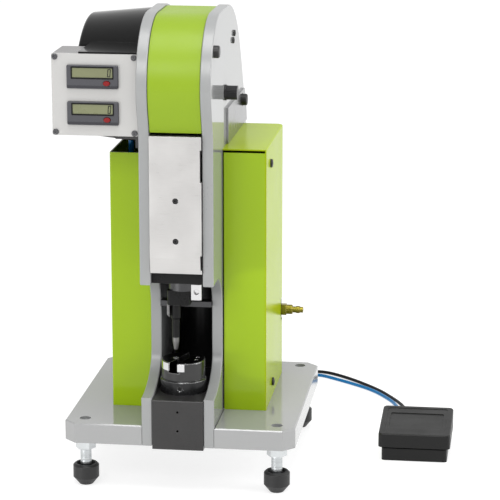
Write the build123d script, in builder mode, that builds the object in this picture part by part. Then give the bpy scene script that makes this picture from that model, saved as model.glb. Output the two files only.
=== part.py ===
"""Bench-top pneumatic rivet punch tool with a foot pedal, in millimetres.

Places are given from three datums: x from the centre plane between the two cheek
plates, y back from the front face of the base plate, and z up from a level just above
the table, because the feet are screwed out of the base by that much.
"""

import math
import os

from build123d import *

# Where the datums lie in the part's own frame, whose origin is the middle of the footprint.
CENTRE_X = -78
FRONT_Y = -125
FEET_OUT = 3.5
TABLE_Z = -FEET_OUT

# Fits
RUNNING = 0.05
CLEAR = 0.4

# Base plate and feet
BASE_W, BASE_D = 249, 264
BASE_BOTTOM, BASE_TOP = 48, 70
BASE_CORNER = 12.5
FOOT_X, FOOT_FRONT, FOOT_BACK = 104, 20, 249
STUD_R, STUD_SUNK = 6, 4
NUT_FLATS, NUT_H = 19, 11
PAD_R, PAD_H, PAD_SEAT = 14, 23, 10

# Cheek plates
CHEEK_GAP, CHEEK_T = 55.4, 11.4
INNER_X = CHEEK_GAP / 2
OUTER_X = INNER_X + CHEEK_T
NOTCH_D = 72
JAW_TOP, JAW_RISE, THROAT_D = 101.3, 36, 66
UPPER_JAW, UPPER_JAW_R = 225, 38
BULGE_START, BULGE, NOSE_Z = 372, 13.5, 433
NOSE_R = 73.5
HEAD_TOP = NOSE_Z + NOSE_R
CROWN_END, CROWN_R, CROWN_TURN = 112, 114, 55
BACK_Y, BACK_Z = 262, 352
CHEEK_EDGE = 0.8

# Punch axis and the ram on it
AXIS_Y = 42
PUNCH_X = -8
RAM_R, RAM_BOTTOM, RAM_TOP = 15, 212, 388
STROKE = 8
PIN_R = 4
FORK_W = 20
FORK_SLOT = FORK_W + 2 * CLEAR
GUIDE_BOTTOM, GUIDE_TOP, GUIDE_BACK = 226, 330, 78

# Lever: it rocks on the pivot shaft between the ram and the piston rod
PIVOT_Y, PIVOT_Z, PIVOT_R = 118, 372, 8
FRONT_ARM = PIVOT_Y - AXIS_Y
ROD_Y = 178
BACK_ARM = ROD_Y - PIVOT_Y
LEVER_TILT = math.degrees(math.atan(STROKE / 2 / FRONT_ARM))
RAM_PIN_Z = PIVOT_Z + STROKE / 2
ROD_PIN_Z = PIVOT_Z - STROKE / 2 * BACK_ARM / FRONT_ARM
LEVER_SLOT = 2 * PIN_R + 1

# Air cylinder
CYL_R, CYL_BORE, CYL_BOTTOM, CYL_TOP = 24, 20, 70, 300
CAP_SIDE, CAP_H = 52, 22
ROD_R, PISTON_H, PISTON_Z = 8, 14, 225

# Die side
BLOCK_FRONT, BLOCK_BOTTOM, BLOCK_TOP = -2, 45, 99.5
RING_R, RING_TOP = 25, 114.5
TABLE_R, TABLE_TOP, TABLE_GAP = 23.5, 134.5, 0.3
SPIGOT_R, SPIGOT_DEPTH = 10, 11
SLOT_W, SLOT_DEPTH, SLOT_FOOT_W, SLOT_FOOT_H = 10, 11, 13, 2
SLOT_ANGLE = 71
DIE_R, DIE_BOTTOM, DIE_TOP, DIE_BORE_R, DIE_BORE_DEPTH = 3.3, 127.5, 135.5, 1.5, 7

# Side boxes
LEFT_W, LEFT_TOP = 44, 352.5
RIGHT_W, RIGHT_TOP = 47, 359
BOX_FRONT, BOX_BACK = 70, 227
SHEET = 1.5
BOX_X = OUTER_X + RIGHT_W
NIPPLE_Y, NIPPLE_Z, NIPPLE_R = 212, 147, 5

# Counters on the left
COUNT_X, COUNT_W, COUNT_D = -84.3, 90, 52
COUNT_BOTTOM, COUNT_TOP = 383.2, 468.7
LID_T, COUNT_WALL = 3, 2.5
BEZEL_X, BEZEL_W, BEZEL_H, BEZEL_T = -86, 54, 24.4, 3
HOUSING_W, HOUSING_H, HOUSING_D = 44, 21, 42
WINDOW_W, WINDOW_H, WINDOW_UP, WINDOW_DEEP = 43, 10.5, 4.5, 1
BUTTON_X, BUTTON_DOWN, BUTTON_W, BUTTON_H = 15, 6.4, 7, 5

# Hood on the left
HOOD_Y, HOOD_Z, HOOD_R, HOOD_W = 142, 386, 113.5, 77
HOOD_FRONT, HOOD_BOTTOM, HOOD_WALL, HOOD_TAPER = 64, 363, 3, 7.5
LEDGE_W, LEDGE_FRONT, LEDGE_BACK, LEDGE_T = 62, 1, 75, 2

# Foot pedal
PEDAL_X, PEDAL_FRONT, PEDAL_BACK = 244.2, 131, 219
PEDAL_W, PEDAL_LOW, PEDAL_HIGH = 80, 29, 35.5
TREADLE_BOTTOM, TREADLE_WALL, TREADLE_ROOF = 13.5, 2.8, 3.4
PEDAL_BASE_W, PEDAL_BASE_FRONT, PEDAL_BASE_BACK, PEDAL_BASE_H = 73, 137, 213, 14
PEDAL_FLOOR = TABLE_Z + 3
TREADLE_PIN_Y, TREADLE_PIN_Z, TREADLE_PIN_R = 147, 19.5, 2.5

# Hoses: the points of each route, from the machine's fitting to the pedal's gland
HOSE_R = 2
HOSE_EXIT_Y, HOSE_EXIT_Z = 241, 98
HOSE_END_Y, HOSE_END_Z = 229, 3.5
LYING = TABLE_Z + 2.2
BLACK_ROUTE = [
    (48, HOSE_EXIT_Y, HOSE_EXIT_Z),
    (48, 265, 97.5),
    (48.5, 294, 90),
    (49.5, 321, 66),
    (51, 346, 35),
    (54, 377, 9),
    (59, 412, -0.7),
    (74, 448, LYING),
    (104, 472, LYING),
    (143, 445, LYING),
    (184, 399, LYING),
    (201, 371.5, LYING),
    (219, 338, LYING),
    (228, 300, LYING),
    (230, 262, -0.5),
    (229, HOSE_END_Y, HOSE_END_Z),
]
BLUE_ROUTE = [
    (62, HOSE_EXIT_Y, HOSE_EXIT_Z),
    (62, 264, 97.5),
    (62.5, 292, 90),
    (63.5, 317, 66),
    (65, 341, 35),
    (68, 370, 9),
    (72, 402, -0.7),
    (78, 430, LYING),
    (90, 449, LYING),
    (108, 452, LYING),
    (128, 437.5, LYING),
    (154, 417, LYING),
    (176, 397, LYING),
    (193.5, 372.5, LYING),
    (210, 342, LYING),
    (219, 302, LYING),
    (221.5, 264, -0.5),
    (221, HOSE_END_Y, HOSE_END_Z),
]
INNER_R = 3
INNER_ROUTE = [
    (-67, 112, 372),
    (-67, 113, 330),
    (-66, 118, 288),
    (-65, 128, 250),
    (-64, 141, 214),
    (-61, 154, 183),
    (-53, 163, 162),
    (-OUTER_X, 168, 152),
]
BEND_SHARE = 0.45

os.makedirs("parts", exist_ok=True)


def side_plane(x):
    """Faces +X: sketch x runs back from the front datum, sketch y up from the z datum."""
    return Plane(origin=(CENTRE_X + x, FRONT_Y, FEET_OUT), x_dir=(0, 1, 0), z_dir=(1, 0, 0))


def front_plane(y):
    """Faces -Y: sketch x runs right from the centre plane, sketch y up from the z datum."""
    return Plane(origin=(CENTRE_X, FRONT_Y + y, FEET_OUT), x_dir=(1, 0, 0), z_dir=(0, -1, 0))


def level_plane(z):
    """Faces +Z: sketch x runs right from the centre plane, sketch y back from the front."""
    return Plane(origin=(CENTRE_X, FRONT_Y, FEET_OUT + z), x_dir=(1, 0, 0), z_dir=(0, 0, 1))


def upright_plane(x, y, z=0):
    """Faces -Y at a given place, for profiles that are turned about a line through it."""
    return Plane(origin=(CENTRE_X + x, FRONT_Y + y, FEET_OUT + z), x_dir=(1, 0, 0), z_dir=(0, -1, 0))


def save(builder, label):
    builder.part.label = label
    export_step(builder.part, f"parts/{label}.step")


def head_line(inset, low):
    """The head's outline inside a BuildLine: up the front, over the crown and down the back."""
    front = Line((inset, low), (inset, BULGE_START))
    nose_start = (inset - BULGE, NOSE_Z)
    Spline(front @ 1, nose_start, tangents=(front % 1, (0, 1)))
    nose = CenterArc((NOSE_R - BULGE, NOSE_Z), NOSE_R - inset, 180, -90)
    crown = Line(nose @ 1, (CROWN_END, HEAD_TOP - inset))
    drop = CenterArc((CROWN_END, HEAD_TOP - CROWN_R), CROWN_R - inset, 90, -CROWN_TURN)
    return TangentArc(drop @ 1, (BACK_Y - inset, BACK_Z), tangent=drop % 1)


def tube_path(route):
    """Straight runs joined by tangent arcs, each as large as its two runs allow."""
    points = [Vector(CENTRE_X + x, FRONT_Y + y, FEET_OUT + z) for x, y, z in route]
    runs = [b - a for a, b in zip(points, points[1:])]
    radii = []
    for before, after in zip(runs, runs[1:]):
        half_turn = math.radians(before.get_angle(after)) / 2
        shorter = min(before.length, after.length)
        radii.append(BEND_SHARE * shorter / math.tan(half_turn))
    return points, radii


def hose(route, label, radius=HOSE_R):
    points, radii = tube_path(route)
    with BuildPart() as tube:
        with BuildLine() as path:
            centre = FilletPolyline(*points, radius=radii)
        start = Plane(origin=path.line @ 0, z_dir=path.line % 0)
        with BuildSketch(start):
            Circle(radius)
        sweep(path=path.line)
    save(tube, label)
    length = centre.length
    expected = math.pi * radius**2 * length
    print(f"{label}: length {length:.1f}, volume {tube.part.volume:.0f} of {expected:.0f}")
    print(f"{label}: bend radii {[round(r) for r in radii]}")


# ---- Base plate and feet ----

with BuildPart() as base_plate:
    with BuildSketch(level_plane(BASE_BOTTOM)):
        with Locations((0, BASE_D / 2)):
            Rectangle(BASE_W, BASE_D)
        chamfer(vertices(), BASE_CORNER)
        with Locations((0, NOTCH_D / 2)):
            Rectangle(2 * OUTER_X, NOTCH_D, mode=Mode.SUBTRACT)
        with Locations((0, (FOOT_FRONT + FOOT_BACK) / 2)):
            with GridLocations(2 * FOOT_X, FOOT_BACK - FOOT_FRONT, 2, 2):
                Circle(STUD_R + RUNNING, mode=Mode.SUBTRACT)
    extrude(amount=BASE_TOP - BASE_BOTTOM)
    top_rim = faces().sort_by(Axis.Z)[-1].outer_wire().edges()
    chamfer(top_rim, 1.2)
save(base_plate, "base_plate")

FEET = {
    "front_left": (-FOOT_X, FOOT_FRONT),
    "front_right": (FOOT_X, FOOT_FRONT),
    "back_left": (-FOOT_X, FOOT_BACK),
    "back_right": (FOOT_X, FOOT_BACK),
}

for place, (x, y) in FEET.items():
    with BuildPart() as pad:
        with BuildSketch(upright_plane(x, y, TABLE_Z)):
            with BuildLine():
                Polyline((0, 0), (7.5, 0), (11.5, 5), (PAD_R, 8), (PAD_R, PAD_H - 2),
                         (PAD_R - 2, PAD_H), (10, PAD_H), (9, PAD_H - 3),
                         (STUD_R + RUNNING, PAD_H - 3), (STUD_R + RUNNING, PAD_SEAT),
                         (0, PAD_SEAT), (0, 0))
            make_face()
        revolve(axis=Axis(upright_plane(x, y).origin, (0, 0, 1)))
    save(pad, f"foot_pad_{place}")

with BuildPart() as foot_studs:
    with BuildSketch(level_plane(TABLE_Z + PAD_SEAT)):
        with Locations(*FEET.values()):
            Circle(STUD_R)
    extrude(amount=BASE_TOP - STUD_SUNK - TABLE_Z - PAD_SEAT)
    chamfer(edges().group_by(Axis.Z)[-1], 0.8)
save(foot_studs, "foot_studs")

with BuildPart() as foot_nuts:
    with BuildSketch(level_plane(BASE_BOTTOM - NUT_H)):
        with Locations(*FEET.values()):
            RegularPolygon(NUT_FLATS / 2, 6, major_radius=False)
            Circle(STUD_R + RUNNING, mode=Mode.SUBTRACT)
    extrude(amount=NUT_H)
save(foot_nuts, "foot_nuts")

# ---- Cheek plates ----

TIE_RODS = {"front": (9, 472, 6), "rear": (212, 388, 8)}
TIE_R, TIE_CAP_R = 5, 6.5
KNOB_Y, KNOB_Z, KNOB_STUB_R = 90, 416.3, 4

for side, start in (("left", -OUTER_X), ("right", INNER_X)):
    with BuildPart() as cheek:
        with BuildSketch(side_plane(start)):
            with BuildLine():
                toe = Line((0, BASE_BOTTOM), (0, JAW_TOP))
                jaw = EllipticalCenterArc((0, JAW_TOP + JAW_RISE), THROAT_D, JAW_RISE, 270, arc_size=90)
                throat = Line(jaw @ 1, (THROAT_D, UPPER_JAW - UPPER_JAW_R))
                corner = TangentArc(throat @ 1, (THROAT_D - UPPER_JAW_R, UPPER_JAW), tangent=(0, 1))
                Line(corner @ 1, (0, UPPER_JAW))
                back = head_line(0, UPPER_JAW)
                Polyline(back @ 1, (BACK_Y, BASE_TOP), (NOTCH_D, BASE_TOP),
                         (NOTCH_D, BASE_BOTTOM), toe @ 0)
            make_face()
        extrude(amount=CHEEK_T)
        outlines = faces().filter_by(Axis.X)
        chamfer([e for f in outlines for e in f.outer_wire().edges()], CHEEK_EDGE)
        with BuildSketch(side_plane(start)):
            with Locations(*[(y, z) for y, z, _ in TIE_RODS.values()]):
                Circle(TIE_R + RUNNING)
            with Locations((PIVOT_Y, PIVOT_Z)):
                Circle(PIVOT_R + RUNNING)
            if side == "right":
                with Locations((KNOB_Y, KNOB_Z)):
                    Circle(KNOB_STUB_R + RUNNING)
        extrude(amount=CHEEK_T, mode=Mode.SUBTRACT)
    save(cheek, f"{side}_cheek")

for place, (y, z, proud) in TIE_RODS.items():
    with BuildPart() as tie_rod:
        with BuildSketch(side_plane(-OUTER_X)):
            with Locations((y, z)):
                Circle(TIE_R)
        extrude(amount=2 * OUTER_X)
        with BuildSketch(side_plane(OUTER_X)):
            with Locations((y, z)):
                Circle(TIE_CAP_R)
        extrude(amount=proud)
        chamfer(faces().sort_by(Axis.X)[-1].edges(), 1)
    save(tie_rod, f"tie_rod_{place}")

with BuildPart() as pivot_shaft:
    with BuildSketch(side_plane(-OUTER_X)):
        with Locations((PIVOT_Y, PIVOT_Z)):
            Circle(PIVOT_R)
    extrude(amount=2 * OUTER_X)
save(pivot_shaft, "pivot_shaft")

with BuildPart() as bearing_plate:
    with BuildSketch(side_plane(OUTER_X)):
        with BuildLine():
            Polyline((98, RIGHT_TOP), (98, 398), (232, 398), (246, 374), (250, RIGHT_TOP),
                     (98, RIGHT_TOP))
        make_face()
        with Locations(TIE_RODS["rear"][:2]):
            Circle(TIE_CAP_R + 1, mode=Mode.SUBTRACT)
    extrude(amount=2.5)
save(bearing_plate, "bearing_plate")

# ---- Head cover and back panel between the cheeks ----

COVER_INSET, COVER_T, COVER_LOW = 3, 2, 388
COVER_W = CHEEK_GAP - 1

with BuildPart() as head_cover:
    with BuildSketch(side_plane(-COVER_W / 2)):
        with BuildLine() as cover_line:
            head_line(COVER_INSET, COVER_LOW - 40)
        trace(line_width=COVER_T)
        with Locations((COVER_INSET, COVER_LOW - 50)):
            Rectangle(60, 100, mode=Mode.SUBTRACT)
    extrude(amount=COVER_W)
save(head_cover, "head_cover")

with BuildPart() as rear_panel:
    with BuildSketch(side_plane(-COVER_W / 2)):
        with Locations((BACK_Y - 4, (BASE_TOP + BACK_Z - 1) / 2)):
            Rectangle(COVER_T, BACK_Z - 1 - BASE_TOP)
    extrude(amount=COVER_W)
save(rear_panel, "rear_panel")

# ---- Front plate and ram guide ----

PLATE_W, PLATE_FRONT, PLATE_BACK = 54.7, -5, 6
PLATE_T = PLATE_BACK - PLATE_FRONT
PLATE_BOTTOM, PLATE_TOP, PLATE_BEVEL = 239, 385, 17
PLATE_SCREWS = (274, 317)
SCREW_HOLE_R, SCREW_HEAD_R, SOCKET_R = 1.7, 3.2, 1.5

with BuildPart() as front_plate:
    with BuildSketch(side_plane(-PLATE_W / 2)):
        with BuildLine():
            Polyline((PLATE_FRONT, PLATE_TOP), (PLATE_BACK, PLATE_TOP), (PLATE_BACK, PLATE_BOTTOM),
                     (PLATE_FRONT + 2.5, PLATE_BOTTOM), (PLATE_FRONT, PLATE_BOTTOM + PLATE_BEVEL),
                     (PLATE_FRONT, PLATE_TOP))
        make_face()
    extrude(amount=PLATE_W)
    with BuildSketch(front_plane(PLATE_BACK)):
        for low, high in ((PLATE_BOTTOM + 4, PLATE_BOTTOM + 20), (337, 371)):
            with Locations((PLATE_W / 2, (low + high) / 2)):
                Rectangle(3, high - low)
    extrude(amount=PLATE_T, mode=Mode.SUBTRACT)
    with Locations(*[front_plane(PLATE_FRONT).location * Pos(0, z, 0) for z in PLATE_SCREWS]):
        CounterBoreHole(SCREW_HOLE_R, SCREW_HEAD_R, 3.2, PLATE_T)
save(front_plate, "front_plate")

with BuildPart() as front_plate_screws:
    with Locations(*[front_plane(PLATE_FRONT + 0.4).location * Pos(0, z, 0) for z in PLATE_SCREWS]):
        Cylinder(SCREW_HEAD_R - RUNNING, 2.8, align=(Align.CENTER, Align.CENTER, Align.MAX))
    with BuildSketch(front_plane(PLATE_FRONT + 3.2)):
        with Locations(*[(0, z) for z in PLATE_SCREWS]):
            Circle(SCREW_HOLE_R - RUNNING)
    extrude(amount=3.2 - PLATE_T)
    with BuildSketch(front_plane(PLATE_FRONT + 0.4)):
        with Locations(*[(0, z) for z in PLATE_SCREWS]):
            RegularPolygon(SOCKET_R, 6)
    extrude(amount=-1.8, mode=Mode.SUBTRACT)
save(front_plate_screws, "front_plate_screws")

with BuildPart() as ram_guide:
    with BuildSketch(level_plane(GUIDE_BOTTOM)):
        with Locations((0, (PLATE_BACK + GUIDE_BACK) / 2)):
            Rectangle(CHEEK_GAP, GUIDE_BACK - PLATE_BACK)
        with Locations((0, AXIS_Y)):
            Circle(RAM_R + RUNNING, mode=Mode.SUBTRACT)
    extrude(amount=GUIDE_TOP - GUIDE_BOTTOM)
save(ram_guide, "ram_guide")

# ---- Ram, punch holder, punch and clamp ----

RAM_SLOT_FLOOR = RAM_PIN_Z - 17

with BuildPart() as ram:
    with BuildSketch(level_plane(RAM_BOTTOM)):
        with Locations((0, AXIS_Y)):
            Circle(RAM_R)
    extrude(amount=RAM_TOP - RAM_BOTTOM)
    with BuildSketch(level_plane(RAM_SLOT_FLOOR)):
        with Locations((0, AXIS_Y)):
            Rectangle(FORK_SLOT, 2 * RAM_R + 2)
    extrude(amount=RAM_TOP - RAM_SLOT_FLOOR, mode=Mode.SUBTRACT)
    with BuildSketch(side_plane(-RAM_R + 2)):
        with Locations((AXIS_Y, RAM_PIN_Z)):
            Circle(PIN_R)
    extrude(amount=2 * RAM_R - 4)
save(ram, "ram")

HOLDER_BOTTOM, HOLDER_H = 196, 16
PUNCH_R, PUNCH_NECK_R, PUNCH_SHOULDER_Z, PUNCH_BOTTOM = 5.5, 4.2, 180, 158
PIN_TOP_R, PIN_TIP_R, PIN_TIP_Z, PIN_BORE_R, PIN_BORE_L = 3.7, 2.2, 144.3, 1, 5

with BuildPart() as punch_holder:
    with BuildSketch(level_plane(HOLDER_BOTTOM)):
        with Locations((-3.25, AXIS_Y)):
            RectangleRounded(24.5, 24, 3)
        with Locations((PUNCH_X, AXIS_Y)):
            Circle(PUNCH_R + RUNNING, mode=Mode.SUBTRACT)
    extrude(amount=HOLDER_H)
save(punch_holder, "punch_holder")

with BuildPart() as punch:
    with BuildSketch(upright_plane(PUNCH_X, AXIS_Y)):
        with BuildLine():
            Polyline((0, PUNCH_BOTTOM), (PUNCH_NECK_R, PUNCH_BOTTOM),
                     (PUNCH_NECK_R, PUNCH_SHOULDER_Z - 2), (PUNCH_R, PUNCH_SHOULDER_Z),
                     (PUNCH_R, RAM_BOTTOM), (0, RAM_BOTTOM), (0, PUNCH_BOTTOM))
        make_face()
    revolve(axis=Axis(upright_plane(PUNCH_X, AXIS_Y).origin, (0, 0, 1)))
save(punch, "punch")

with BuildPart() as punch_pin:
    with BuildSketch(upright_plane(PUNCH_X, AXIS_Y)):
        with BuildLine():
            Polyline((0, PIN_TIP_Z), (PIN_TIP_R, PIN_TIP_Z), (PIN_TOP_R, PIN_TIP_Z + 9),
                     (PIN_TOP_R, PUNCH_BOTTOM), (0, PUNCH_BOTTOM), (0, PIN_TIP_Z))
        make_face()
    revolve(axis=Axis(upright_plane(PUNCH_X, AXIS_Y).origin, (0, 0, 1)))
    with Locations(level_plane(PIN_TIP_Z).location * Pos(PUNCH_X, AXIS_Y, 0)):
        Cylinder(PIN_BORE_R, PIN_BORE_L, align=(Align.CENTER, Align.CENTER, Align.MIN),
                 mode=Mode.SUBTRACT)
save(punch_pin, "punch_pin")

CLAMP_BOTTOM = 202

with BuildPart() as tool_clamp:
    with BuildSketch(level_plane(CLAMP_BOTTOM)):
        with Locations((15.2, AXIS_Y - 4)):
            Rectangle(12.4, 14)
    extrude(amount=HOLDER_H + 1)
    chamfer(edges().filter_by(Axis.Z), 1.5)
    with BuildSketch(level_plane(RAM_BOTTOM)):
        with Locations((0, AXIS_Y)):
            Circle(RAM_R + RUNNING)
    extrude(amount=HOLDER_H, mode=Mode.SUBTRACT)
    with BuildSketch(front_plane(AXIS_Y - 11)):
        with Locations((16, CLAMP_BOTTOM + 9)):
            Circle(3)
    extrude(amount=-4, mode=Mode.SUBTRACT)
save(tool_clamp, "tool_clamp")

BAR_FRONT, BAR_BACK, BAR_BOTTOM, BAR_TOP = 60, 72, 187, 193

with BuildPart() as guide_bar:
    with BuildSketch(front_plane(BAR_FRONT)):
        with Locations((0, (BAR_BOTTOM + BAR_TOP) / 2)):
            Rectangle(CHEEK_GAP, BAR_TOP - BAR_BOTTOM)
    extrude(amount=BAR_FRONT - BAR_BACK)
save(guide_bar, "guide_bar")

# ---- Lever ----

FRONT_REACH, BACK_REACH = 88, 73
HUB_R, TIP_H, FORK_DEPTH = 17, 20, 22

with BuildPart() as lever:
    with BuildSketch(side_plane(-FORK_W / 2)):
        with Locations(Location((PIVOT_Y, PIVOT_Z, 0), (0, 0, -LEVER_TILT))):
            Polygon((-FRONT_REACH, -TIP_H / 2), (0, -HUB_R + 2), (BACK_REACH, -TIP_H / 2),
                    (BACK_REACH, TIP_H / 2), (0, HUB_R - 2), (-FRONT_REACH, TIP_H / 2),
                    align=None)
            Circle(HUB_R)
            Circle(PIVOT_R + RUNNING, mode=Mode.SUBTRACT)
            with Locations((-FRONT_REACH, 0)):
                Rectangle(2 * FORK_DEPTH, LEVER_SLOT, mode=Mode.SUBTRACT)
            with Locations((BACK_REACH, 0)):
                Rectangle(2 * FORK_DEPTH, LEVER_SLOT, mode=Mode.SUBTRACT)
    extrude(amount=FORK_W)
save(lever, "lever")

# ---- Air cylinder and piston rod ----

with BuildPart() as cylinder:
    for low in (CYL_BOTTOM, CYL_TOP - CAP_H):
        with BuildSketch(level_plane(low)):
            with Locations((0, ROD_Y)):
                RectangleRounded(CAP_SIDE, CAP_SIDE, 4)
        extrude(amount=CAP_H)
    with BuildSketch(level_plane(CYL_BOTTOM + CAP_H)):
        with Locations((0, ROD_Y)):
            Circle(CYL_R)
    extrude(amount=CYL_TOP - CYL_BOTTOM - 2 * CAP_H)
    with BuildSketch(level_plane(CYL_BOTTOM + CAP_H)):
        with Locations((0, ROD_Y)):
            Circle(CYL_BORE)
    extrude(amount=CYL_TOP - CYL_BOTTOM - 2 * CAP_H, mode=Mode.SUBTRACT)
    with BuildSketch(level_plane(CYL_TOP - CAP_H)):
        with Locations((0, ROD_Y)):
            Circle(ROD_R + RUNNING)
    extrude(amount=CAP_H, mode=Mode.SUBTRACT)
save(cylinder, "cylinder")

CLEVIS_BOTTOM, CLEVIS_FLOOR, CLEVIS_TOP = ROD_PIN_Z - 33, ROD_PIN_Z - 22, ROD_PIN_Z + 10

with BuildPart() as piston_rod:
    with BuildSketch(level_plane(PISTON_Z)):
        with Locations((0, ROD_Y)):
            Circle(ROD_R)
    extrude(amount=CLEVIS_BOTTOM - PISTON_Z)
    with BuildSketch(level_plane(CLEVIS_BOTTOM)):
        with Locations((0, ROD_Y)):
            Circle(RAM_R)
    extrude(amount=CLEVIS_TOP - CLEVIS_BOTTOM)
    with BuildSketch(level_plane(CLEVIS_FLOOR)):
        with Locations((0, ROD_Y)):
            Rectangle(FORK_SLOT, 2 * RAM_R + 2)
    extrude(amount=CLEVIS_TOP - CLEVIS_FLOOR, mode=Mode.SUBTRACT)
    with BuildSketch(side_plane(-RAM_R + 2)):
        with Locations((ROD_Y, ROD_PIN_Z)):
            Circle(PIN_R)
    extrude(amount=2 * RAM_R - 4)
save(piston_rod, "piston_rod")

with BuildPart() as piston:
    with BuildSketch(level_plane(PISTON_Z)):
        with Locations((0, ROD_Y)):
            Circle(CYL_BORE - RUNNING)
            Circle(ROD_R, mode=Mode.SUBTRACT)
    extrude(amount=PISTON_H)
    piston_rim = edges().filter_by(GeomType.CIRCLE).sort_by(SortBy.RADIUS)[-2:]
    chamfer(piston_rim, 1)
save(piston, "piston")

# ---- Die block, ring and turntable ----

with BuildPart() as die_block:
    with BuildSketch(level_plane(BLOCK_BOTTOM)):
        with Locations((0, (BLOCK_FRONT + NOTCH_D) / 2)):
            Rectangle(CHEEK_GAP - 0.4, NOTCH_D - BLOCK_FRONT)
    extrude(amount=BLOCK_TOP - BLOCK_BOTTOM)
    chamfer(faces().sort_by(Axis.Y)[0].edges(), 0.8)
    with BuildSketch(front_plane(BLOCK_FRONT)):
        with Locations((0, 66), (0, 87)):
            Circle(1.3)
    extrude(amount=-6, mode=Mode.SUBTRACT)
    with BuildSketch(level_plane(BLOCK_TOP)):
        with Locations((0, AXIS_Y)):
            Circle(SPIGOT_R + 1)
    extrude(amount=-2, mode=Mode.SUBTRACT)
save(die_block, "die_block")

PLUNGER_R, PLUNGER_Z, PLUNGER_L = 2.5, 107, 8

with BuildPart() as die_ring:
    with BuildSketch(level_plane(BLOCK_TOP)):
        with Locations((0, AXIS_Y)):
            Circle(RING_R)
            Circle(SPIGOT_R + RUNNING, mode=Mode.SUBTRACT)
    extrude(amount=RING_TOP - BLOCK_TOP)
    chamfer(faces().sort_by(Axis.Z)[-1].outer_wire().edges(), 1.2)
    with BuildSketch(front_plane(AXIS_Y - RING_R)):
        with Locations((0, PLUNGER_Z)):
            Circle(PLUNGER_R + RUNNING)
    extrude(amount=-PLUNGER_L, mode=Mode.SUBTRACT)
save(die_ring, "die_ring")

with BuildPart() as ball_plunger:
    with BuildSketch(front_plane(AXIS_Y - RING_R + 1)):
        with Locations((0, PLUNGER_Z)):
            Circle(PLUNGER_R)
    extrude(amount=1 - PLUNGER_L)
    with BuildSketch(front_plane(AXIS_Y - RING_R + 1)):
        with Locations((0, PLUNGER_Z)):
            RegularPolygon(1.2, 6)
    extrude(amount=-1.5, mode=Mode.SUBTRACT)
save(ball_plunger, "ball_plunger")

SLOT_FLOOR = TABLE_TOP - SLOT_DEPTH

with BuildPart() as turntable:
    with BuildSketch(level_plane(RING_TOP + TABLE_GAP)):
        with Locations((0, AXIS_Y)):
            Circle(TABLE_R)
    extrude(amount=TABLE_TOP - RING_TOP - TABLE_GAP)
    chamfer(edges().group_by(Axis.Z)[-1], 0.8)
    with BuildSketch(level_plane(RING_TOP + TABLE_GAP - SPIGOT_DEPTH)):
        with Locations((0, AXIS_Y)):
            Circle(SPIGOT_R)
    extrude(amount=SPIGOT_DEPTH)
    slot_places = Location((0, AXIS_Y, 0), (0, 0, SLOT_ANGLE))
    with BuildSketch(level_plane(SLOT_FLOOR)):
        with Locations(slot_places):
            Rectangle(2 * RING_R, SLOT_W)
    extrude(amount=SLOT_DEPTH, mode=Mode.SUBTRACT)
    with BuildSketch(level_plane(SLOT_FLOOR)):
        with Locations(slot_places):
            Rectangle(2 * RING_R, SLOT_FOOT_W)
    extrude(amount=SLOT_FOOT_H, mode=Mode.SUBTRACT)
    with BuildSketch(level_plane(TABLE_TOP)):
        with Locations((PUNCH_X, AXIS_Y)):
            Circle(DIE_R + RUNNING)
    extrude(amount=DIE_BOTTOM - TABLE_TOP, mode=Mode.SUBTRACT)
    with BuildSketch(level_plane(TABLE_TOP)):
        with Locations((15, AXIS_Y - 6), (15, AXIS_Y + 4)):
            Circle(2.2)
    extrude(amount=-3, mode=Mode.SUBTRACT)
save(turntable, "turntable")

with BuildPart() as die_insert:
    with BuildSketch(level_plane(DIE_BOTTOM)):
        with Locations((PUNCH_X, AXIS_Y)):
            Circle(DIE_R)
    extrude(amount=DIE_TOP - DIE_BOTTOM)
    chamfer(faces().sort_by(Axis.Z)[-1].edges(), 0.5)
    with BuildSketch(level_plane(DIE_TOP)):
        with Locations((PUNCH_X, AXIS_Y)):
            Circle(DIE_BORE_R)
    extrude(amount=-DIE_BORE_DEPTH, mode=Mode.SUBTRACT)
save(die_insert, "die_insert")

# ---- Side boxes ----

BOX_MID = (BOX_FRONT + BOX_BACK) / 2
BOX_D = BOX_BACK - BOX_FRONT

with BuildPart() as left_box:
    with BuildSketch(level_plane(BASE_TOP)):
        with Locations((-OUTER_X - LEFT_W / 2, BOX_MID)):
            Rectangle(LEFT_W, BOX_D)
        with Locations((-OUTER_X - (LEFT_W - SHEET) / 2, BOX_MID)):
            Rectangle(LEFT_W - SHEET, BOX_D - 2 * SHEET, mode=Mode.SUBTRACT)
    extrude(amount=LEFT_TOP - BASE_TOP)
    with BuildSketch(level_plane(BASE_TOP)):
        with Locations((-OUTER_X - LEFT_W / 2, BOX_MID)):
            Rectangle(LEFT_W, BOX_D)
    extrude(amount=SHEET)
    fillet(edges().filter_by(Axis.Z).group_by(Axis.X)[0], 1.2)
save(left_box, "left_box")

PANEL_GAP, PANEL_SIDE_GAP = 2.5, 1.2
BOX_CORNER = 8
BOX_SCREWS = ((107, 337.3), (125, 87))
BOX_SCREW_R = 3.7
CUT_START, CUT_H = 207, 25

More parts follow.
